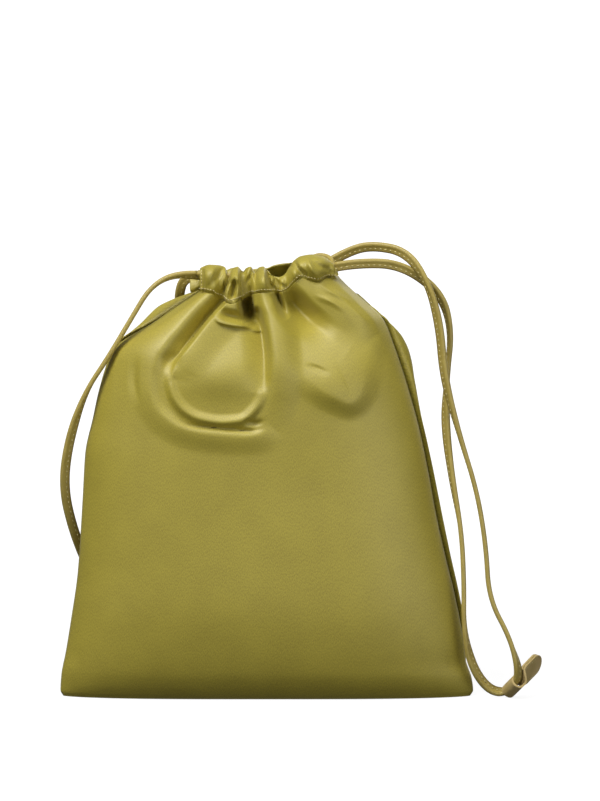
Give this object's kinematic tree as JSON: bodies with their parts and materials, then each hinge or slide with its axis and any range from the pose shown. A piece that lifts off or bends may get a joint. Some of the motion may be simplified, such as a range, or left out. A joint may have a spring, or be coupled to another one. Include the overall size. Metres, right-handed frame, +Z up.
{
  "type": "drawstring gift sack",
  "caption": "Upright satin drawstring sack, lined, gathered shut at the neck by two stitched leather straps that loop out at both sides, each with a folded leather pull tab.",
  "frame": {"origin": "middle of the flat base, on the surface that the sack stands on", "axes": "+Z up, front faces -Y, +X towards the loop whose pull tab lies beside the sack"},
  "size_m": [0.2659, 0.0873, 0.2512],
  "materials": {
    "satin": "heavy duchesse satin, olive green, soft sheen",
    "lining": "plain woven lining, olive green",
    "strap_leather": "smooth olive leather strip, folded and stitched",
    "tab_leather": "smooth olive leather, cut edges sealed",
    "thread": "polyester sewing thread, pale olive"
  },
  "bodies": {
    "bag": {"front_panel": "satin", "back_panel": "satin", "front_lining": "lining", "back_lining": "lining", "left_side_seam": "satin", "right_side_seam": "satin", "base_seam": "satin", "front_casing": "satin", "back_casing": "satin", "front_casing_stitching": "thread", "back_casing_stitching": "thread", "left_opening_stitching": "thread", "right_opening_stitching": "thread"},
    "right_drawstring": {"right_drawstring_loop": "strap_leather", "right_drawstring_run": "strap_leather"},
    "left_drawstring": {"left_drawstring_loop": "strap_leather", "left_drawstring_run": "strap_leather"},
    "right_tab": {"right_pull_tab": "tab_leather", "right_tab_stitching": "thread"},
    "left_tab": {"left_pull_tab": "tab_leather", "left_tab_stitching": "thread"}
  },
  "joints": [
    {"name": "right_drawstring_pull", "type": "slide", "parent": "bag", "child": "right_drawstring", "axis": [1, 0, 0], "range_m": [0, 0.006]},
    {"name": "left_drawstring_pull", "type": "slide", "parent": "bag", "child": "left_drawstring", "axis": [-1, 0, 0], "range_m": [0, 0.006]},
    {"name": "right_tab_swing", "type": "hinge", "parent": "right_drawstring", "child": "right_tab", "pos_m": [0.1361, -0.012, 0.00725], "axis": [0.4227, -0.7082, 0.5655], "range_deg": [-25, 60]},
    {"name": "left_tab_swing", "type": "hinge", "parent": "left_drawstring", "child": "left_tab", "pos_m": [-0.07175, 0.0462, 0.00735], "axis": [-0.6311, -0.5096, 0.5848], "range_deg": [-45, 45]}
  ]
}
